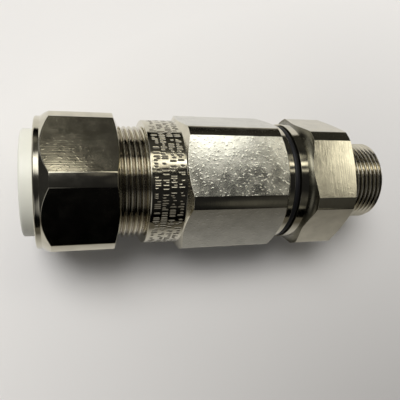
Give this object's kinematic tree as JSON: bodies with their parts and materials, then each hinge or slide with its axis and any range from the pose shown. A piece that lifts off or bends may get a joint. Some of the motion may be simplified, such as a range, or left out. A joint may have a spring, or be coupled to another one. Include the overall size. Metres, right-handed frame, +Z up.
{
  "type": "cable gland",
  "caption": "Nickel-plated gland for armoured cable: hexagonal seal nut on a fine thread, marked barrel, hexagonal body, O-ring, and hexagonal entry piece with a metric entry thread.",
  "frame": {"origin": "centre of the shoulder behind the entry thread, on the gland's axis", "axes": "+X out along the entry thread, -X back to the cable, +Z up with the entry hexagon lying on one flat"},
  "size_m": [0.1101, 0.0414, 0.0412],
  "materials": {
    "nickel_plate": "nickel plated, turned and milled, bright",
    "white_elastomer": "smooth, matte",
    "black_rubber": "smooth, slight sheen",
    "white_nylon": "plain"
  },
  "bodies": {
    "body": {"main_body": "nickel_plate", "armour_clamping_ring": "nickel_plate"},
    "seal_carrier": {"outer_seal": "white_elastomer", "skid_washer": "white_nylon"},
    "nut": {"outer_seal_nut": "nickel_plate"},
    "cone_group": {"armour_cone": "nickel_plate", "thrust_ferrule": "nickel_plate", "inner_seal": "white_elastomer"},
    "entry": {"entry_component": "nickel_plate", "deluge_seal": "black_rubber"}
  },
  "joints": [
    {"name": "seal_travel", "type": "slide", "parent": "body", "child": "seal_carrier", "axis": [1, 0, 0], "range_m": [-0.00826, 0.00676]},
    {"name": "nut_turn", "type": "hinge", "parent": "seal_carrier", "child": "nut", "pos_m": [-0.0808, 0, 0], "axis": [1, 0, 0], "range_deg": [-1980, 1620]},
    {"name": "cone_travel", "type": "slide", "parent": "body", "child": "cone_group", "axis": [1, 0, 0], "range_m": [-0.00001, 0.01201]},
    {"name": "entry_turn", "type": "hinge", "parent": "cone_group", "child": "entry", "pos_m": [-0.0072, 0, 0], "axis": [1, 0, 0], "range_deg": [0, 2880]}
  ],
  "couplings": [
    {"joint": "seal_travel", "follows": "nut_turn", "m_per_rad": 0.00023873},
    {"joint": "cone_travel", "follows": "entry_turn", "m_per_rad": 0.00023873}
  ]
}
